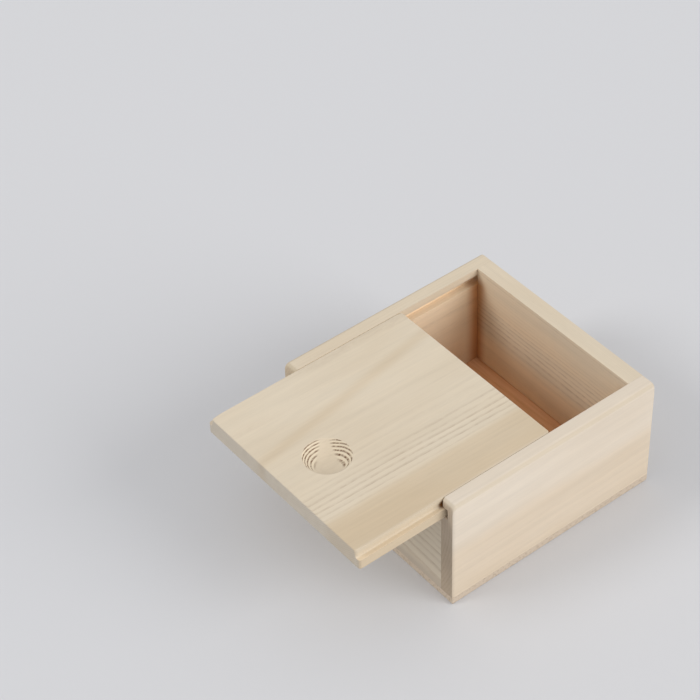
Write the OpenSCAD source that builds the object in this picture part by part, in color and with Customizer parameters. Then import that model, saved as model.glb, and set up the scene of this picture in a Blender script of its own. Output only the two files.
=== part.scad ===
// Small wooden box with a lid that slides in grooves under the lips of its two side boards.
// Millimetres, +Z up. The origin is the middle of the box's underside, the mouth faces -Y,
// and the lid is drawn out towards -Y.

/* [Box] */
// Width of the box over both side boards
box_w = 120; // [60:1:300]
// Length of the box, from the mouth to the outside of the back wall
box_l = 120; // [80:1:300]
// Height of the box
box_h = 62.5; // [30:0.5:200]
// Thickness of the side boards
side_t = 8; // [6:0.5:16]
// Thickness of the back wall
back_t = 9; // [4:0.5:20]
// Thickness of the low front wall under the mouth
front_t = 8; // [4:0.5:20]
// Thickness of the bottom panel
bottom_t = 4; // [1.5:0.5:8]
// Radius on the outer top edge of the side boards
side_round_r = 2.5; // [0.5:0.1:3]

/* [Groove] */
// Height of the lip above each groove
lip_h = 4.2; // [3:0.1:8]
// Height of each groove
groove_h = 5.4; // [3:0.1:10]
// Depth of each groove into its side board
groove_d = 4; // [3:0.1:5]

/* [Lid] */
// How far the lid is drawn out of the closed box
lid_out = 47.2; // [0:0.1:60]
// Radius of the lid's upright corners
lid_corner_r = 1.5; // [0.5:0.1:4]
// Diameter of the finger pull at the lid's face
pull_d = 22.4; // [12:0.1:30]
// Depth of the finger pull
pull_depth = 5.5; // [2:0.1:6]
// Distance from the lid's front edge to the middle of the finger pull
pull_inset = 25.6; // [16:0.1:60]

/* [Fits] */
// Height that the lid's face lies below the side boards
lid_sink = 0.1; // [0:0.05:0.5]
// Gap between the lid's shoulder and each lip
lip_gap = 0.25; // [0.1:0.05:1]
// Gap between the lid's tongue and the bottom of the groove
tongue_gap_below = 0.1; // [0.05:0.05:0.5]
// Gap between the lid's tongue and the lip above it
tongue_gap_above = 0.2; // [0.05:0.05:0.5]
// Gap between the edge of the tongue and the end of the groove
tongue_gap_end = 1.6; // [0.2:0.1:2]
// Gap between the lid and the back wall when the box is closed
back_gap = 0.4; // [0.1:0.1:2]
// Height that the front wall stays below the lid's path
front_gap = 0.2; // [0.1:0.1:2]

/* [Hidden] */
$fn = 64;
cut = 1;

inner_w = box_w - 2*side_t;
groove_top_z = box_h - lip_h;
groove_z = groove_top_z - groove_h;
front_top_z = groove_z - front_gap;

lid_l = box_l - back_t - back_gap;
lid_top_z = box_h - lid_sink;
tongue_z = groove_z + tongue_gap_below;
tongue_top_z = groove_top_z - tongue_gap_above;
shoulder_w = inner_w - 2*lip_gap;
tongue_w = inner_w + 2*(groove_d - tongue_gap_end);
lid_front_y = -box_l/2 - lid_out;

// the pull is part of a ball that shows pull_d at the face and reaches pull_depth into it
pull_ball_r = (pow(pull_d/2, 2) + pow(pull_depth, 2))/(2*pull_depth);

side_wood = [0.87, 0.82, 0.71];
end_wood = [0.82, 0.76, 0.66];
bottom_wood = [0.76, 0.70, 0.60];
lid_wood = [0.86, 0.80, 0.69];

// side board in section, seen from the mouth: x is the distance out from its inner face
module side_section() {
  difference() {
    union() {
      translate([0, bottom_t]) square([side_t, box_h - bottom_t - side_round_r]);
      translate([0, box_h/2]) square([side_t - side_round_r, box_h/2]);
      translate([side_t - side_round_r, box_h - side_round_r]) circle(r = side_round_r);
    }
    translate([-cut, groove_z]) square([groove_d + cut, groove_h]);
  }
}

// side board with its groove along the whole length, inner face on the plane x = 0
module side_board() {
  translate([0, box_l/2, 0])
    rotate([90, 0, 0])
      linear_extrude(height = box_l) side_section();
}

// wall that stands on the bottom panel between the side boards, from y = 0 towards +Y
module cross_wall(thickness, top_z) {
  translate([-inner_w/2, 0, bottom_t])
    cube([inner_w, thickness, top_z - bottom_t]);
}

// flat board of the lid's length with rounded upright corners, front edge on y = 0
module lid_layer(width, thickness) {
  r = lid_corner_r;
  linear_extrude(height = thickness)
    union() {
      translate([-width/2 + r, 0]) square([width - 2*r, lid_l]);
      translate([-width/2, r]) square([width, lid_l - 2*r]);
      for (x = [-width/2 + r, width/2 - r])
        for (y = [r, lid_l - r])
          translate([x, y]) circle(r = r);
    }
}

module left_side() {
  color(side_wood)
    mirror([1, 0, 0])
      translate([inner_w/2, 0, 0]) side_board();
}

module right_side() {
  color(side_wood)
    translate([inner_w/2, 0, 0]) side_board();
}

module back_wall() {
  color(end_wood)
    translate([0, box_l/2 - back_t, 0]) cross_wall(back_t, box_h);
}

module front_wall() {
  color(end_wood)
    translate([0, -box_l/2, 0]) cross_wall(front_t, front_top_z);
}

module bottom_panel() {
  color(bottom_wood)
    translate([-box_w/2, -box_l/2, 0]) cube([box_w, box_l, bottom_t]);
}

module lid() {
  color(lid_wood)
    translate([0, lid_front_y, 0])
      difference() {
        union() {
          translate([0, 0, tongue_z]) lid_layer(tongue_w, tongue_top_z - tongue_z);
          translate([0, 0, tongue_z]) lid_layer(shoulder_w, lid_top_z - tongue_z);
        }
        translate([0, pull_inset, lid_top_z + pull_ball_r - pull_depth]) sphere(r = pull_ball_r);
      }
}

left_side();
right_side();
back_wall();
front_wall();
bottom_panel();
lid();
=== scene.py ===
"""A small pine box with a sliding lid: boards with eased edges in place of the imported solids,
raw sanded wood, a pale table and soft light."""

import math

import bmesh
import bpy
from mathutils import Matrix, Vector


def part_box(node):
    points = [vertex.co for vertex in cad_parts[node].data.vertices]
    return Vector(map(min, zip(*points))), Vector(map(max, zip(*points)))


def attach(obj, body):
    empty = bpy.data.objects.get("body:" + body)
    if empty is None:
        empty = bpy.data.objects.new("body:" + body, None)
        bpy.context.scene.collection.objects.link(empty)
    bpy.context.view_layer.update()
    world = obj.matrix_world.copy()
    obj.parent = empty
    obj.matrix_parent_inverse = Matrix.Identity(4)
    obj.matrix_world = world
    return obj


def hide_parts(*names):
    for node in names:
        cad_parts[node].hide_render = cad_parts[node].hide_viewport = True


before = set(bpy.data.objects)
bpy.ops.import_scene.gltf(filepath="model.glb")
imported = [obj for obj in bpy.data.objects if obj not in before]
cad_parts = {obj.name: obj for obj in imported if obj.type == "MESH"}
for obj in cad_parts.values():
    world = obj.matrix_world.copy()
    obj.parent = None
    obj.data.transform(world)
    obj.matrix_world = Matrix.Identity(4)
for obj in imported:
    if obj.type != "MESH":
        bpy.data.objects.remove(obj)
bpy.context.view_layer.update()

MM = 0.001
NEAR = 0.01 * MM  # two places this close are the same
SHARP_FROM = math.radians(60)  # faces that meet at this angle or more make a sharp edge
SMOOTH_UP_TO = math.radians(40)  # faces that meet at less look like one rounded surface

# ---------------------------------------------------------------- sizes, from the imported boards

RIGHT_LOW, RIGHT_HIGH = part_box("right_side")
LID_LOW, LID_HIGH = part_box("lid")
BACK_INSIDE_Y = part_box("back_wall")[0].y
FRONT_INSIDE_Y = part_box("front_wall")[1].y

LIP_H = 4.2 * MM  # wood above the groove
GROOVE_H = 5.4 * MM
GROOVE_D = 4.0 * MM
TOP_EDGE_R = 2.5 * MM  # outer top edge of the side boards
GROOVE_TOP_Z = RIGHT_HIGH.z - LIP_H
GROOVE_Z = GROOVE_TOP_Z - GROOVE_H

LIP_GAP = 0.25 * MM
TONGUE_GAP_ABOVE = 0.2 * MM
SHOULDER_HALF_W = RIGHT_LOW.x - LIP_GAP
TONGUE_TOP_Z = GROOVE_TOP_Z - TONGUE_GAP_ABOVE
LID_CORNER_R = 1.5 * MM

PULL_R = 11.2 * MM
PULL_DEPTH = 5.5 * MM
PULL_INSET = 25.6 * MM  # from the lid's front edge to the middle of the pull
PULL_RIM = 0.3 * MM  # its eased rim
PULL_BALL_R = (PULL_R**2 + PULL_DEPTH**2) / (2 * PULL_DEPTH)
PULL_CENTRE = Vector((0, LID_LOW.y + PULL_INSET, LID_HIGH.z + PULL_BALL_R - PULL_DEPTH))

SHARP = 0.05 * MM  # an edge straight from the plane
EASED = 0.45 * MM  # an edge rubbed with sandpaper
CUTTER_NOSE = 0.9 * MM  # rounding left by the cutter at the foot of the lid's shoulder
HANDLED = 0.7 * MM  # the lid's front, where a hand takes it
MOUTH_ABOVE = 3.6 * MM  # the lips' ends at the mouth, sanded round from above
MOUTH_INSIDE = 1.5 * MM  # and where the lid goes in
MOUTH_OUTSIDE = 0.7 * MM  # and down the outside
CORNER = 0.8 * MM  # the open joints round the inside of the back and front walls
SEAM = 0.1 * MM  # where the side boards stand on the bottom panel

# ---------------------------------------------------------------- modelling by hand


def start_editing(obj):
    bpy.ops.object.select_all(action="DESELECT")
    bpy.context.view_layer.objects.active = obj
    obj.select_set(True)
    bpy.ops.object.mode_set(mode="EDIT")


def stop_editing():
    bpy.ops.object.mode_set(mode="OBJECT")


def pick(obj, kind, test):
    """In edit mode, selects only the edges or faces that pass the test."""
    bpy.ops.mesh.select_mode(type={"edges": "EDGE", "faces": "FACE"}[kind])
    bpy.ops.mesh.select_all(action="DESELECT")
    mesh = bmesh.from_edit_mesh(obj.data)
    for part in getattr(mesh, kind):
        if test(part):
            part.select_set(True)
    mesh.select_flush_mode()
    bmesh.update_edit_mesh(obj.data)


def at(value, wanted):
    return abs(value - wanted) < NEAR


def both_ends(edge, test):
    return all(test(v.co) for v in edge.verts)


def runs_along(edge, axis):
    run = edge.verts[1].co - edge.verts[0].co
    return abs(run[axis]) > 0.99 * run.length


def is_sharp(edge):
    return len(edge.link_faces) == 2 and edge.calc_face_angle() > SHARP_FROM


def ease(obj, width, segments, test):
    """Rounds the sharp edges that pass the test."""
    pick(obj, "edges", lambda edge: is_sharp(edge) and test(edge))
    bpy.ops.mesh.bevel(offset=width, offset_type="OFFSET", segments=segments, profile=0.5, affect="EDGES")


def finish_board(obj, node, body):
    """Smooth over the rounded edges and flat on the faces. The board then stands for its solid."""
    bpy.ops.object.select_all(action="DESELECT")
    bpy.context.view_layer.objects.active = obj
    obj.select_set(True)
    bpy.ops.object.shade_smooth_by_angle(angle=SMOOTH_UP_TO)
    flat_faces = obj.modifiers.new("flat_faces", "WEIGHTED_NORMAL")
    flat_faces.keep_sharp = True
    bpy.ops.object.modifier_apply(modifier=flat_faces.name)
    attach(obj, body)
    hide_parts(node)


def squared_board(name, low, high):
    bpy.ops.object.select_all(action="DESELECT")
    bpy.ops.mesh.primitive_cube_add(size=1, location=(low + high) / 2, scale=high - low)
    obj = bpy.context.object
    obj.name = obj.data.name = name
    bpy.ops.object.transform_apply(location=True, rotation=True, scale=True)
    return obj


def board_end(name, low, high):
    """The end of a board as one upright face at its low y."""
    bpy.ops.object.select_all(action="DESELECT")
    middle = Vector(((low.x + high.x) / 2, low.y, (low.z + high.z) / 2))
    bpy.ops.mesh.primitive_plane_add(size=1, location=middle, rotation=(math.pi / 2, 0, 0))
    obj = bpy.context.object
    obj.name = obj.data.name = name
    obj.scale = (high.x - low.x, high.z - low.z, 1)
    bpy.ops.object.transform_apply(location=True, rotation=True, scale=True)
    return obj


def mark_line(point, normal):
    """Marks the board's end along a plane, so that a corner between two lines can be cut away."""
    bpy.ops.mesh.select_all(action="SELECT")
    bpy.ops.mesh.bisect(plane_co=point, plane_no=normal)


def cut_away(obj, test):
    """Deletes the faces whose middle passes the test."""
    pick(obj, "faces", lambda face: test(face.calc_center_median()))
    bpy.ops.mesh.delete(type="FACE")


def run_to_length(length):
    """Draws the board's end out along +Y into the whole board."""
    bpy.ops.mesh.select_all(action="SELECT")
    bpy.ops.mesh.extrude_region_move(TRANSFORM_OT_translate={"value": (0, length, 0)})
    bpy.ops.mesh.select_all(action="SELECT")
    bpy.ops.mesh.normals_make_consistent(inside=False)
    bpy.ops.mesh.dissolve_limited(angle_limit=math.radians(1))


# ---------------------------------------------------------------- boards


def side_board(node, out):
    """Side board with its lip and groove. out is +1 for the right board and -1 for the left one."""
    low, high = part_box(node)
    inner_x, outer_x = (low.x, high.x) if out > 0 else (high.x, low.x)
    groove_end_x = inner_x + out * GROOVE_D
    obj = board_end(node + "_board", low, high)
    start_editing(obj)
    mark_line((groove_end_x, 0, 0), (1, 0, 0))
    mark_line((0, 0, GROOVE_Z), (0, 0, 1))
    mark_line((0, 0, GROOVE_TOP_Z), (0, 0, 1))
    cut_away(obj, lambda c: GROOVE_Z < c.z < GROOVE_TOP_Z and (c.x - groove_end_x) * out < 0)
    run_to_length(high.y - low.y)
    ease(obj, TOP_EDGE_R, 8, lambda e: both_ends(e, lambda co: at(co.x, outer_x) and at(co.z, high.z)))
    stop_editing()
    round_mouth(obj, low.y, inner_x, outer_x)
    start_editing(obj)
    for end_y in (low.y, high.y):
        ease(obj, EASED, 3, lambda e: both_ends(e, lambda co: at(co.y, end_y) and co.z > low.z + NEAR))
    ease(obj, SEAM, 2, lambda e: both_ends(e, lambda co: at(co.z, low.z)))
    for arris_z in (GROOVE_Z, GROOVE_TOP_Z):
        ease(obj, EASED, 3, lambda e: both_ends(e, lambda co: at(co.x, inner_x) and at(co.z, arris_z)))
    ease(obj, SHARP, 2, lambda e: both_ends(e, lambda co: at(co.x, inner_x) and at(co.z, high.z)))
    stop_editing()
    finish_board(obj, node, "box")
    return obj


def round_mouth(obj, mouth_y, inner_x, outer_x):
    """Rounds a side board's end at the mouth: most above, and less and less towards the outside."""
    above, outside = MOUTH_ABOVE, MOUTH_OUTSIDE
    width_share = obj.data.attributes.new("bevel_weight_edge", "FLOAT", "EDGE")
    for edge, share in zip(obj.data.edges, width_share.data):
        ends = [obj.data.vertices[i].co for i in edge.vertices]
        middle = (ends[0] + ends[1]) / 2
        round_part = min(1, max(0, (middle.z - RIGHT_HIGH.z) / TOP_EDGE_R + 1))
        if not all(at(co.y, mouth_y) for co in ends):
            share.value = 0
        elif all(at(co.x, inner_x) for co in ends) and middle.z > GROOVE_TOP_Z:
            share.value = MOUTH_INSIDE / above
        elif all(at(co.x, outer_x) for co in ends) or round_part > 0:
            share.value = (outside + (above - outside) * round_part) / above
    rounding = obj.modifiers.new("mouth_rounding", "BEVEL")
    rounding.limit_method = "WEIGHT"
    rounding.width = above
    rounding.segments = 8
    bpy.ops.object.modifier_apply(modifier=rounding.name)
    obj.data.attributes.remove(obj.data.attributes["bevel_weight_edge"])


def wall_board(node, inside_y):
    """Wall between the side boards, eased on top and round its inner face."""
    low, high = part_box(node)
    obj = squared_board(node + "_board", low, high)
    start_editing(obj)
    ease(obj, EASED, 3, lambda e: runs_along(e, 0) and both_ends(e, lambda co: at(co.z, high.z)))
    ease(obj, CORNER, 3, lambda e: both_ends(e, lambda co: at(co.y, inside_y) and co.z < high.z - EASED))
    ease(obj, CORNER, 3, lambda e: runs_along(e, 2) and both_ends(e, lambda co: at(co.y, inside_y)))
    stop_editing()
    finish_board(obj, node, "box")
    return obj


def bottom_board(node):
    low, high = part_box(node)
    obj = squared_board(node + "_board", low, high)
    start_editing(obj)
    ease(obj, EASED, 3, lambda e: both_ends(e, lambda co: at(co.z, low.z)))
    ease(obj, SHARP, 2, lambda e: both_ends(e, lambda co: at(co.z, high.z)))
    stop_editing()
    finish_board(obj, node, "box")
    return obj


def lid_board(node):
    """Lid with a tongue along each side, and its finger pull scooped out by a ball."""
    low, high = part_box(node)
    obj = board_end(node + "_board", low, high)
    start_editing(obj)
    mark_line((-SHOULDER_HALF_W, 0, 0), (1, 0, 0))
    mark_line((SHOULDER_HALF_W, 0, 0), (1, 0, 0))
    mark_line((0, 0, TONGUE_TOP_Z), (0, 0, 1))
    cut_away(obj, lambda c: c.z > TONGUE_TOP_Z and abs(c.x) > SHOULDER_HALF_W)
    run_to_length(high.y - low.y)
    front, rear = low.y + 2 * LID_CORNER_R, high.y - 2 * LID_CORNER_R
    on_tongue = lambda co: at(co.z, TONGUE_TOP_Z)
    at_foot = lambda co: on_tongue(co) and abs(co.x) < SHOULDER_HALF_W + NEAR
    ease(obj, LID_CORNER_R, 6, lambda e: runs_along(e, 2))
    ease(obj, HANDLED, 4, lambda e: both_ends(e, lambda co: at(co.z, high.z) and co.y < front))
    ease(obj, EASED, 3, lambda e: both_ends(e, lambda co: at(co.z, high.z) and co.y > rear))
    ease(obj, SHARP, 2, lambda e: runs_along(e, 1) and both_ends(e, lambda co: at(co.z, high.z)))
    ease(obj, SHARP, 2, lambda e: both_ends(e, on_tongue) and not both_ends(e, at_foot))
    ease(obj, SHARP, 2, lambda e: both_ends(e, lambda co: at(co.z, low.z)))
    ease(obj, CUTTER_NOSE, 4, lambda e: both_ends(e, at_foot))
    stop_editing()
    scoop_out_pull(obj)
    finish_board(obj, node, "lid")
    return obj


def scoop_out_pull(obj):
    """Cuts the round finger pull out of the lid with a ball, and eases its rim."""
    bpy.ops.object.select_all(action="DESELECT")
    bpy.ops.mesh.primitive_uv_sphere_add(
        segments=128, ring_count=96, radius=PULL_BALL_R, location=PULL_CENTRE
    )
    ball = bpy.context.object
    bpy.ops.object.transform_apply(location=True, rotation=True, scale=True)
    bpy.ops.object.select_all(action="DESELECT")
    bpy.context.view_layer.objects.active = obj
    obj.select_set(True)
    scoop = obj.modifiers.new("scoop", "BOOLEAN")
    scoop.operation = "DIFFERENCE"
    scoop.solver = "EXACT"
    scoop.object = ball
    bpy.ops.object.modifier_apply(modifier=scoop.name)
    bpy.data.objects.remove(ball)
    start_editing(obj)
    on_ball = lambda co: abs((co - PULL_CENTRE).length - PULL_BALL_R) < 0.1 * MM
    pick(obj, "edges", lambda e: both_ends(e, lambda co: at(co.z, LID_HIGH.z) and on_ball(co)))
    bpy.ops.mesh.bevel(offset=PULL_RIM, offset_type="OFFSET", segments=3, profile=0.5, affect="EDGES")
    stop_editing()


# ---------------------------------------------------------------- wood


def srgb(hex_text):
    """The linear colour of an sRGB hex value."""
    parts = [int(hex_text[i : i + 2], 16) / 255 for i in (1, 3, 5)]
    return tuple(c / 12.92 if c <= 0.04045 else ((c + 0.055) / 1.055) ** 2.4 for c in parts) + (1.0,)


def add(tree, kind, inputs=None, out=0, **settings):
    """Adds a node with its settings and its inputs, as values or links, and gives one of its outputs."""
    node = tree.nodes.new("ShaderNode" + kind)
    for name, value in settings.items():
        setattr(node, name, value)
    for name, value in (inputs or {}).items():
        if isinstance(value, bpy.types.NodeSocket):
            tree.links.new(value, node.inputs[name])
        else:
            node.inputs[name].default_value = value
    return node.outputs[out] if node.outputs else node


def new_material(name):
    material = bpy.data.materials.new(name)
    material.use_nodes = True
    material.node_tree.nodes.clear()
    return material


def marks(length, width):
    """Pattern scale for marks of this size along and across the grain."""
    return (1 / length, 1 / width, 1 / width)


GRAIN_TURN = {"X": 0, "Y": -math.pi / 2}  # turn about z that lays a board's grain along x

HALF_SPAN = 65  # mm: what is drawn across a board runs from this far on one side to the other
WANDER = marks(150 * MM, 40 * MM)  # slow bends of the growth layers
WANDER_REACH = 2.2 * MM
CLOUDS = marks(60 * MM, 22 * MM)  # patches of paler and tanner wood
STREAKS = marks(70 * MM, 4 * MM)
BREAKS = marks(3.5 * MM, 0.9 * MM)  # where the tools tore or skipped a growth line
FIBRES = marks(16 * MM, 0.8 * MM)  # real fibres are 0.03 mm wide: drawn coarser, so that they show

PALE_PINE = "#DCCFBA"
TAN_PINE = "#CFBCA0"
BOUNCE_WARMED_PINE = "#F7DCB8"  # painted light: the paler, warmer tan of inner faces and ledges, for light bounced between the boards
SUMMER_PINE = "#8A6A4B"  # the dark part of each year's growth
# painted shade: the dark of the narrow gap at the mouth, where the lid goes in
GAP_SHADE_PINE = "#704512"
TORN_PINE = "#6E4C30"  # the dark strokes on the pull's torn flanks
BARE_PINE = "#F2E4CA"  # and the fresh wood between them
NO_TINT = "#FFFFFF"
END_TINT = "#CFC8C0"  # laid over the wood where the fibres are cut across
CORNER_SHADE_TINT = "#D8B08A"  # painted shade, laid over the wood in the corners inside the box
EDGE_SHADE_TINT = "#F2F0EA"  # painted shade, laid over the rounded edges to darken the highlight that the lamps put on them
CORNER_PLACE = (RIGHT_LOW.x, BACK_INSIDE_Y, 0)  # one upright joint inside the box: the others mirror it
CORNER_SHADE_REACH = 8 * MM
TORN_WAYS = ((0.74, 0.67, 0), (-0.26, -0.97, 0))  # the ways that the pull's two torn flanks look


def pine(
    name, grain, pith, ring, across, figure, heart, seed, inward, pale=PALE_PINE, tan=TAN_PINE,
    bounce_warmed=BOUNCE_WARMED_PINE, end_tint=END_TINT, lean=0, edge_shade=None, stripe=None, pull=None, gap_shade=None,
):
    """Planed and sanded pine, left raw: matt, pale cream wood with fine grey-brown growth lines that run
    along the board, soft tan bands, and darker, speckled end grain.

    grain is the board's long axis and pith the tree's middle, seen along the grain, as (across, up).
    ring is one year's growth. across is the axis that figure and heart are drawn along, in mm:
    figure is how clearly the growth lines show, and heart how tan the wood is. seed is the place
    along the tree that the board was cut from, so that no two boards share their marks.
    inward is the way that the board's inner face looks: inside the box and on ledges below its rim,
    its tan is painted paler and warmer: painted light, for the light bounced between the boards.
    lean turns the grain away from the board's own line, in degrees. edge_shade is a tint laid over the
    rounded long edges, a painted shade that darkens the highlight the lamps put there. stripe is a tan
    stripe through a place, with the way across it and half its width. pull is the middle of the ball that
    scooped a finger
    pull: two of its flanks are torn, and show the years as rough dark strokes. gap_shade is a place
    painted dark as shade in the narrow gap where the lid goes in, with its reach. The flat sawn end of a
    board stays clean."""
    material = new_material(name)
    tree = material.node_tree
    place = add(tree, "TexCoord", out="Object")
    turn = GRAIN_TURN[grain] + math.radians(lean)
    middle = Vector((pith[0], 0, pith[1])) if grain == "Y" else Vector((0, pith[0], pith[1]))
    middle.rotate(Matrix.Rotation(turn, 3, "Z"))
    start = (seed - middle.x, -middle.y, -middle.z)
    log = add(tree, "Mapping", {"Vector": place, "Location": start, "Rotation": (0, 0, turn)})

    # growth layers: tubes round the pith that wander slowly along the board
    bend = add(tree, "VectorMath", {0: log, 1: WANDER}, operation="MULTIPLY")
    bend = add(tree, "TexNoise", {"Vector": bend, "Scale": 1, "Detail": 3}, out="Color")
    reach = (0, WANDER_REACH, WANDER_REACH)
    back = (0, -WANDER_REACH / 2, -WANDER_REACH / 2)
    bend = add(tree, "VectorMath", {0: bend, 1: reach, 2: back}, operation="MULTIPLY_ADD")
    layer = add(tree, "VectorMath", {0: log, 1: (0, 1, 1), 2: bend}, operation="MULTIPLY_ADD")
    year = add(tree, "VectorMath", {0: layer}, out="Value", operation="LENGTH")
    year = add(tree, "Math", {0: year, 1: ring}, operation="DIVIDE")
    season = add(tree, "Math", {0: year}, operation="FRACT")
    count = add(tree, "Math", {0: year}, operation="FLOOR")

    # each year's dark summer wood: a slow rise, then a quick end
    good_year = add(tree, "TexWhiteNoise", {"W": count}, noise_dimensions="1D")
    good_year = add(tree, "MapRange", {0: good_year, 3: 0.5, 4: 1.0})
    rise = add(tree, "MapRange", {0: season, 1: 0.4, 2: 0.88}, interpolation_type="SMOOTHSTEP")
    fall = add(tree, "MapRange", {0: season, 1: 1.0, 2: 0.9}, interpolation_type="SMOOTHSTEP")
    summer = add(tree, "Math", {0: rise, 1: fall}, operation="MULTIPLY")
    summer = add(tree, "Math", {0: summer, 1: good_year}, operation="MULTIPLY")
    torn = add(tree, "VectorMath", {0: log, 1: BREAKS}, operation="MULTIPLY")
    torn = add(tree, "TexNoise", {"Vector": torn, "Scale": 1, "Detail": 2})
    torn = add(tree, "MapRange", {0: torn, 1: 0.35, 2: 0.65, 3: 0.3, 4: 1.0})
    summer = add(tree, "Math", {0: summer, 1: torn}, operation="MULTIPLY")

    # how clearly the lines show and how tan the wood is, drawn across the board
    spot = add(tree, "SeparateXYZ", {0: place}, out=across)
    spot = add(tree, "MapRange", {0: spot, 1: -HALF_SPAN * MM, 2: HALF_SPAN * MM})
    drawn = []
    for points in (figure, heart):
        ramp = add(tree, "ValToRGB", {0: spot})
        ramp.node.color_ramp.interpolation = "EASE"
        stops = ramp.node.color_ramp.elements
        while len(stops) < len(points):
            stops.new(1)
        for stop, (spot_mm, strength) in zip(stops, points):
            stop.position = (spot_mm + HALF_SPAN) / (2 * HALF_SPAN)
            stop.color = (strength, strength, strength, 1)
        drawn.append(ramp)
    shows, tan_share = drawn

    # across the fibres, at the ends of the board, the rings show more and the wood drinks the light
    normal = add(tree, "TexCoord", out="Normal")
    facing = add(tree, "SeparateXYZ", {0: normal}, out=grain)
    facing = add(tree, "Math", {0: facing}, operation="ABSOLUTE")
    end = add(tree, "MapRange", {0: facing, 1: 0.72, 2: 0.99}, interpolation_type="SMOOTHSTEP")
    end_rings = add(tree, "Math", {0: end, 1: 0.25}, operation="MULTIPLY")
    shows = add(tree, "Math", {0: shows, 1: end_rings}, operation="MAXIMUM")
    lines = add(tree, "Math", {0: summer, 1: shows}, operation="MULTIPLY")

    # streaks and fibres along the grain, which end as specks
    cloud = add(tree, "VectorMath", {0: log, 1: CLOUDS}, operation="MULTIPLY")
    cloud = add(tree, "TexNoise", {"Vector": cloud, "Scale": 1, "Detail": 2})
    streak = add(tree, "VectorMath", {0: log, 1: STREAKS}, operation="MULTIPLY")
    streak = add(tree, "TexNoise", {"Vector": streak, "Scale": 1, "Detail": 2})
    fibre = add(tree, "VectorMath", {0: log, 1: FIBRES}, operation="MULTIPLY")
    fibre = add(tree, "TexNoise", {"Vector": fibre, "Scale": 1, "Detail": 3, "Roughness": 0.6})

    cloud = add(tree, "MapRange", {0: cloud, 1: 0.3, 2: 0.7, 3: -0.15, 4: 0.15})
    tan_share = add(tree, "Math", {0: tan_share, 1: cloud}, operation="ADD")
    along = add(tree, "MapRange", {0: end, 3: 1.0, 4: 0.5})
    tan_share = add(tree, "Math", {0: tan_share, 1: along}, operation="MULTIPLY")
    if stripe:
        through, across_stripe, half = stripe
        off = add(tree, "VectorMath", {0: place, 1: through}, operation="SUBTRACT")
        off = add(tree, "VectorMath", {0: off, 1: across_stripe}, out="Value", operation="DOT_PRODUCT")
        off = add(tree, "Math", {0: off}, operation="ABSOLUTE")
        off = add(tree, "MapRange", {0: off, 1: half, 2: 0, 4: 0.45}, interpolation_type="SMOOTHSTEP")
        tan_share = add(tree, "Math", {0: tan_share, 1: off}, operation="ADD")
    height = add(tree, "SeparateXYZ", {0: place}, out="Z")
    # painted light: inner faces and ledges sheltered below the rim take a paler, warmer tan, for light
    # bounced between the boards
    sheltered = add(tree, "MapRange", {0: height, 1: RIGHT_HIGH.z - 1 * MM, 2: RIGHT_HIGH.z - 2 * MM})
    ledge = add(tree, "SeparateXYZ", {0: normal}, out="Z")
    ledge = add(tree, "Math", {0: ledge, 1: sheltered}, operation="MULTIPLY")
    inner = add(tree, "VectorMath", {0: normal, 1: inward}, out="Value", operation="DOT_PRODUCT")
    inner = add(tree, "Math", {0: inner, 1: ledge}, operation="MAXIMUM")
    inner = add(tree, "MapRange", {0: inner, 1: 0.5, 2: 0.8})
    tan_or_warmed = add(tree, "Mix", {0: inner, 6: srgb(tan), 7: srgb(bounce_warmed)}, out=2, data_type="RGBA")
    colour = add(tree, "Mix", {0: tan_share, 6: srgb(pale), 7: tan_or_warmed}, out=2, data_type="RGBA")
    colour = add(tree, "Mix", {0: lines, 6: colour, 7: srgb(SUMMER_PINE)}, out=2, data_type="RGBA")
    streak_tone = add(tree, "MapRange", {0: streak, 1: 0.3, 2: 0.7, 3: 0.965, 4: 1.02})
    fibre_tone = add(tree, "MapRange", {0: fibre, 1: 0.3, 2: 0.7, 3: 0.97, 4: 1.02})
    tone = add(tree, "Math", {0: streak_tone, 1: fibre_tone}, operation="MULTIPLY")
    colour = add(tree, "VectorMath", {0: colour, 1: tone}, operation="MULTIPLY")
    tint = add(tree, "Mix", {0: end, 6: srgb(NO_TINT), 7: srgb(end_tint)}, out=2, data_type="RGBA")
    colour = add(tree, "VectorMath", {0: colour, 1: tint}, operation="MULTIPLY")

    # painted shade: the rounded edges are darkened a little, against the highlight that the lamps put on
    # them
    if edge_shade:
        steep = add(tree, "SeparateXYZ", {0: normal}, out="Z")
        steep = add(tree, "Math", {0: steep, 1: steep}, operation="MULTIPLY")
        level = add(tree, "Math", {0: 1.0, 1: steep}, operation="SUBTRACT")
        edge = add(tree, "Math", {0: steep, 1: level}, operation="MULTIPLY")
        edge = add(tree, "MapRange", {0: edge, 1: 0.05, 2: 0.2})
        tint = add(tree, "Mix", {0: edge, 6: srgb(NO_TINT), 7: srgb(edge_shade)}, out=2, data_type="RGBA")
        colour = add(tree, "VectorMath", {0: colour, 1: tint}, operation="MULTIPLY")

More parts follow.
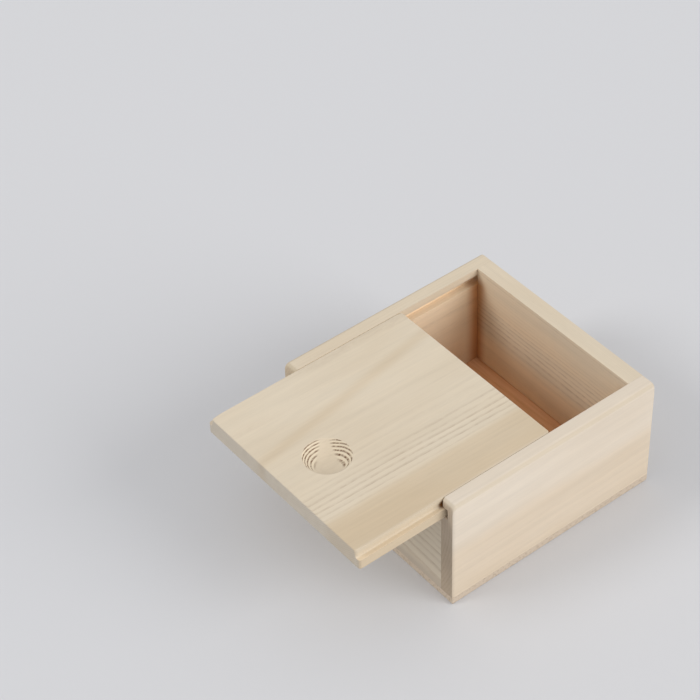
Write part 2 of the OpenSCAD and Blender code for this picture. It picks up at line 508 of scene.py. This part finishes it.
    # painted shade: beside the four upright joints inside the box, below the grooves, the wood is darkened
    # where shade falls in the corners
    joint = add(tree, "VectorMath", {0: place, 1: (1, 1, 0)}, operation="MULTIPLY")
    joint = add(tree, "VectorMath", {0: joint}, operation="ABSOLUTE")
    joint = add(tree, "VectorMath", {0: joint, 1: CORNER_PLACE}, out="Value", operation="DISTANCE")
    corner_shade = add(tree, "MapRange", {0: joint, 1: CORNER_SHADE_REACH, 2: 0.5 * MM}, interpolation_type="SMOOTHSTEP")
    corner_shade = add(tree, "Math", {0: corner_shade, 1: inner}, operation="MULTIPLY")
    below = add(tree, "MapRange", {0: height, 1: GROOVE_TOP_Z, 2: GROOVE_Z})
    corner_shade = add(tree, "Math", {0: corner_shade, 1: below}, operation="MULTIPLY")
    tint = add(tree, "Mix", {0: corner_shade, 6: srgb(NO_TINT), 7: srgb(CORNER_SHADE_TINT)}, out=2, data_type="RGBA")
    colour = add(tree, "VectorMath", {0: colour, 1: tint}, operation="MULTIPLY")
    relief = add(tree, "Math", {0: lines, 1: 0.5, 2: fibre}, operation="MULTIPLY_ADD")

    if pull:
        reach = add(tree, "VectorMath", {0: place, 1: pull}, out="Value", operation="DISTANCE")
        rim = PULL_BALL_R + PULL_RIM
        scooped = add(tree, "MapRange", {0: reach, 1: rim, 2: rim - 0.2 * MM})
        left, right = (
            add(tree, "VectorMath", {0: normal, 1: way}, out="Value", operation="DOT_PRODUCT")
            for way in TORN_WAYS
        )
        flank = add(tree, "Math", {0: left, 1: right}, operation="MAXIMUM")
        flank = add(tree, "MapRange", {0: flank, 1: 0.3, 2: 0.44}, interpolation_type="SMOOTHSTEP")
        flank = add(tree, "Math", {0: flank, 1: scooped}, operation="MULTIPLY")
        rise = add(tree, "MapRange", {0: season, 1: 0.35, 2: 0.6}, interpolation_type="SMOOTHSTEP")
        fall = add(tree, "MapRange", {0: season, 1: 1.0, 2: 0.85}, interpolation_type="SMOOTHSTEP")
        stroke = add(tree, "Math", {0: rise, 1: fall}, operation="MULTIPLY")
        stroke = add(tree, "Math", {0: stroke, 1: torn}, operation="MULTIPLY")
        stroke = add(tree, "Math", {0: stroke, 1: flank}, operation="MULTIPLY")
        bare = add(tree, "Math", {0: flank, 1: 0.5}, operation="MULTIPLY")
        colour = add(tree, "Mix", {0: bare, 6: colour, 7: srgb(BARE_PINE)}, out=2, data_type="RGBA")
        colour = add(tree, "Mix", {0: stroke, 6: colour, 7: srgb(TORN_PINE)}, out=2, data_type="RGBA")
        relief = add(tree, "Math", {0: stroke, 1: -8.0, 2: relief}, operation="MULTIPLY_ADD")

    # painted shade: a dark spot in the narrow gap at the mouth, where the lid goes in; the flat sawn end
    # stays clean
    if gap_shade:
        middle, size = gap_shade
        reach = add(tree, "VectorMath", {0: place, 1: middle}, out="Value", operation="DISTANCE")
        shade_spot = add(tree, "MapRange", {0: reach, 1: size, 2: 0.2 * size}, interpolation_type="SMOOTHSTEP")
        sawn = add(tree, "VectorMath", {0: normal, 1: (0, -1, 0)}, out="Value", operation="DOT_PRODUCT")
        inside = add(tree, "MapRange", {0: sawn, 1: 0.998, 2: 0.97})
        shade_spot = add(tree, "Math", {0: shade_spot, 1: inside}, operation="MULTIPLY")
        colour = add(tree, "Mix", {0: shade_spot, 6: colour, 7: srgb(GAP_SHADE_PINE)}, out=2, data_type="RGBA")

    matt = add(tree, "MapRange", {0: fibre, 1: 0.3, 2: 0.7, 3: 0.55, 4: 0.72})
    bump = add(tree, "Bump", {"Height": relief, "Strength": 0.35, "Distance": 0.06 * MM})
    shader = add(
        tree, "BsdfPrincipled",
        {"Base Color": colour, "Roughness": matt, "Normal": bump, "IOR": 1.5, "Specular IOR Level": 0.4},
    )
    add(tree, "OutputMaterial", {"Surface": shader})
    return material


VENEER = ("#DA9F6E", "#EDB688")  # its darker and its paler fibres
PLY_EDGE = ("#CCBCA9", "#AD9B86")  # sawn clean, and torn by the saw
VENEER_FIBRES = marks(25 * MM, 1.2 * MM)
SAW_BITES = 1.4 * MM


def plywood(name):
    """Thin plywood, sawn and left raw: warm brown veneer inside the box, and a paler, rough sawn edge."""
    material = new_material(name)
    tree = material.node_tree
    place = add(tree, "TexCoord", out="Object")
    fibre = add(tree, "VectorMath", {0: place, 1: VENEER_FIBRES}, operation="MULTIPLY")
    fibre = add(tree, "TexNoise", {"Vector": fibre, "Scale": 1, "Detail": 3})
    fibre = add(tree, "MapRange", {0: fibre, 1: 0.3, 2: 0.7})
    saw = add(tree, "TexNoise", {"Vector": place, "Scale": 1 / SAW_BITES, "Detail": 2})
    torn = add(tree, "MapRange", {0: saw, 1: 0.5, 2: 0.8})
    dark, light = (srgb(colour) for colour in VENEER)
    veneer = add(tree, "Mix", {0: fibre, 6: dark, 7: light}, out=2, data_type="RGBA")
    clean, rough = (srgb(colour) for colour in PLY_EDGE)
    sawn = add(tree, "Mix", {0: torn, 6: clean, 7: rough}, out=2, data_type="RGBA")
    away = add(tree, "VectorMath", {0: place}, operation="ABSOLUTE")
    away_x, away_y = (add(tree, "SeparateXYZ", {0: away}, out=axis) for axis in "XY")
    away = add(tree, "Math", {0: away_x, 1: away_y}, operation="MAXIMUM")
    rim = add(tree, "MapRange", {0: away, 1: RIGHT_HIGH.x - 1.0 * MM, 2: RIGHT_HIGH.x - 0.8 * MM})
    colour = add(tree, "Mix", {0: rim, 6: veneer, 7: sawn}, out=2, data_type="RGBA")
    bump = add(tree, "Bump", {"Height": saw, "Strength": 0.5, "Distance": 0.15 * MM})
    shader = add(
        tree, "BsdfPrincipled",
        {"Base Color": colour, "Roughness": 0.75, "Normal": bump, "IOR": 1.5, "Specular IOR Level": 0.3},
    )
    add(tree, "OutputMaterial", {"Surface": shader})
    return material


TABLE_GREY = "#D5D6DA"
TABLE_R = 6.0  # far enough for its rim to stay out of sight


def painted_table(name):
    """Smooth matt table top in a cool pale grey."""
    material = new_material(name)
    tree = material.node_tree
    paint = {"Base Color": srgb(TABLE_GREY), "Roughness": 0.8, "Specular IOR Level": 0.2}
    shader = add(tree, "BsdfPrincipled", paint)
    add(tree, "OutputMaterial", {"Surface": shader})
    return material


# ---------------------------------------------------------------- the box

right_side = side_board("right_side", 1)
right_side.data.materials.append(
    pine(
        "sanded_pine_right_side", "Y", pith=(-30 * MM, 50.5 * MM), ring=1.6 * MM, across="Z", seed=0.3,
        inward=(-1, 0, 0),
        figure=((0, 0.07), (26.5, 0.07), (35.5, 0.03), (62.5, 0.02)),
        heart=((0, 0.8), (28.5, 0.75), (40.5, 0.15), (62.5, 0.1)),
        pale="#DFD3C3", tan="#DAC8B0", edge_shade=EDGE_SHADE_TINT,
        gap_shade=((54.5 * MM, -60 * MM, 56 * MM), 4.6 * MM),
    )
)

left_side = side_board("left_side", -1)
left_side.data.materials.append(
    pine(
        "sanded_pine_left_side", "Y", pith=(40 * MM, 22.5 * MM), ring=1.5 * MM, across="Z", seed=0.9,
        inward=(1, 0, 0),
        figure=((0, 0.12), (32.5, 0.12), (50.5, 0.15), (62.5, 0.1)),
        heart=((0, 0.9), (54, 1.0), (57, 0.1), (62.5, 0.2)),
        bounce_warmed="#FBE4C6", end_tint="#E6E0D8", edge_shade=EDGE_SHADE_TINT,
    )
)

back_wall = wall_board("back_wall", BACK_INSIDE_Y)
back_wall.data.materials.append(
    pine(
        "sanded_pine_back_wall", "X", pith=(161 * MM, 7.5 * MM), ring=0.75 * MM, across="Z", seed=1.7,
        inward=(0, -1, 0),
        # figure: partly real growth lines, partly painted shade: drawn strongest across the middle of the
        # wall, to darken it there
        figure=(
            (0, 0.05), (20, 0.1), (28, 0.45), (44.5, 0.3), (50.5, 0.08), (58.5, 0.08), (61, 0.35),
            (62.5, 0.1),
        ),
        heart=((0, 0.9), (20, 0.8), (29, 0.25), (38, 0.25), (45, 0.45), (48.5, 0.4), (62.5, 0.2)),
    )
)

front_wall = wall_board("front_wall", FRONT_INSIDE_Y)
front_wall.data.materials.append(
    pine(
        "sanded_pine_front_wall", "X", pith=(-100 * MM, -3.5 * MM), ring=2.6 * MM, across="Z", seed=2.6,
        inward=(0, 1, 0), lean=2, pale="#D3C7B3", tan="#BDB09F",
        figure=((0, 0.4), (60, 0.4)),
        # heart: painted shade, the wall tanner and darker towards its foot
        heart=((5, 0.9), (11, 0.1)),
    )
)

bottom_panel = bottom_board("bottom_panel")
bottom_panel.data.materials.append(plywood("raw_plywood"))

lid = lid_board("lid")
lid.data.materials.append(
    pine(
        "sanded_pine_lid", "Y", pith=(-54 * MM, 264.5 * MM), ring=1.13 * MM, across="X", seed=3.4,
        inward=(0, 0, -1), lean=1.5,
        figure=(
            (-54, 0.22), (-44, 0.2), (-38, 0.12), (-32, 0.02), (-8, 0.05), (10, 0.1), (18, 0.32),
            (29, 0.32), (33, 0.06), (54, 0.04),
        ),
        heart=((-54, 0.12), (29, 0.1), (34, 0.8), (50.5, 0.9), (51.7, 0.35), (52, 0.35), (52.8, 0.9)),
        # end_tint: partly the end grain's own pale grey, partly a cool cast painted in for light bounced
        # up from the grey table
        bounce_warmed="#DFCBAE", end_tint="#E5E8EE", pull=PULL_CENTRE,
        stripe=((-20 * MM, -76 * MM, 0), (0.985, 0.175, 0), 5 * MM),
        gap_shade=((51.8 * MM, -59.4 * MM, 58.7 * MM), 3.0 * MM),
    )
)

# ---------------------------------------------------------------- table, light and camera

ROOM_LIGHT = 0.63
WINDOW_POWER = 1.55
WINDOW_TURN = 30  # from +X towards +Y
WINDOW_RISE = 24
WINDOW_BREADTH = 42
FILL_POWER = 0.87
FILL_TURN = -115
FILL_RISE = 37
FILL_BREADTH = 20
LAMP_COLOUR = (1.0, 0.985, 0.96)

CAMERA_PLACE = Vector((0.55858, -0.49027, 0.77209))
CAMERA_TURN = 52.844  # the way it looks, from +Y towards -X
CAMERA_DIP = 43.048
CAMERA_ROLL = -2.049
CAMERA_LENS = 115.68  # mm
SENSOR_W = 36  # mm


def table_top():
    bpy.ops.object.select_all(action="DESELECT")
    bpy.ops.mesh.primitive_circle_add(vertices=96, radius=TABLE_R, fill_type="NGON", location=(0, 0, 0))
    floor = bpy.context.object
    floor.name = "table_top"
    floor.data.materials.append(painted_table("matt_table"))


def soft_room():
    """Even light from all round."""
    world = bpy.data.worlds.new("room")
    bpy.context.scene.world = world
    world.use_nodes = True
    tree = world.node_tree
    tree.nodes.clear()
    light = add(tree, "Background", {"Color": (1.0, 1.0, 1.0, 1.0), "Strength": ROOM_LIGHT})
    seen = add(tree, "Background", {"Color": srgb(TABLE_GREY), "Strength": 1.0})
    path = add(tree, "LightPath").node.outputs
    looks = add(tree, "Math", {0: path["Is Camera Ray"], 1: path["Is Glossy Ray"]}, operation="MAXIMUM")
    looks = add(tree, "Math", {0: looks, 1: path["Is Transmission Ray"]}, operation="MAXIMUM")
    room = add(tree, "MixShader", {0: looks, 1: light, 2: seen})
    add(tree, "OutputWorld", {"Surface": room})


def soft_lamp(name, power, turn, rise, breadth):
    """A broad lamp, far away. turn goes from +X towards +Y, and rise is its height, in degrees."""
    light = bpy.data.lights.new(name, "SUN")
    light.energy = power
    light.angle = math.radians(breadth)
    light.color = LAMP_COLOUR
    lamp = bpy.data.objects.new(name, light)
    bpy.context.scene.collection.objects.link(lamp)
    turn, rise = math.radians(turn), math.radians(rise)
    towards = Vector((math.cos(turn) * math.cos(rise), math.sin(turn) * math.cos(rise), math.sin(rise)))
    lamp.rotation_mode = "QUATERNION"
    lamp.rotation_quaternion = towards.to_track_quat("Z", "Y")


def camera():
    turn, dip, roll = (math.radians(a) for a in (CAMERA_TURN, CAMERA_DIP, CAMERA_ROLL))
    ahead = Vector((-math.sin(turn) * math.cos(dip), math.cos(turn) * math.cos(dip), -math.sin(dip)))
    level = Vector((math.cos(turn), math.sin(turn), 0))
    upright = level.cross(ahead)
    right = level * math.cos(roll) + upright * math.sin(roll)
    up = upright * math.cos(roll) - level * math.sin(roll)
    data = bpy.data.cameras.new("camera")
    data.lens = CAMERA_LENS
    data.sensor_width = SENSOR_W
    data.clip_start, data.clip_end = 0.01, 50
    obj = bpy.data.objects.new("camera", data)
    bpy.context.scene.collection.objects.link(obj)
    obj.matrix_world = Matrix.Translation(CAMERA_PLACE) @ Matrix((right, up, -ahead)).transposed().to_4x4()
    bpy.context.scene.camera = obj


table_top()
soft_room()
soft_lamp("window", WINDOW_POWER, WINDOW_TURN, WINDOW_RISE, WINDOW_BREADTH)
soft_lamp("fill", FILL_POWER, FILL_TURN, FILL_RISE, FILL_BREADTH)
camera()
bpy.context.scene.view_settings.view_transform = "Standard"
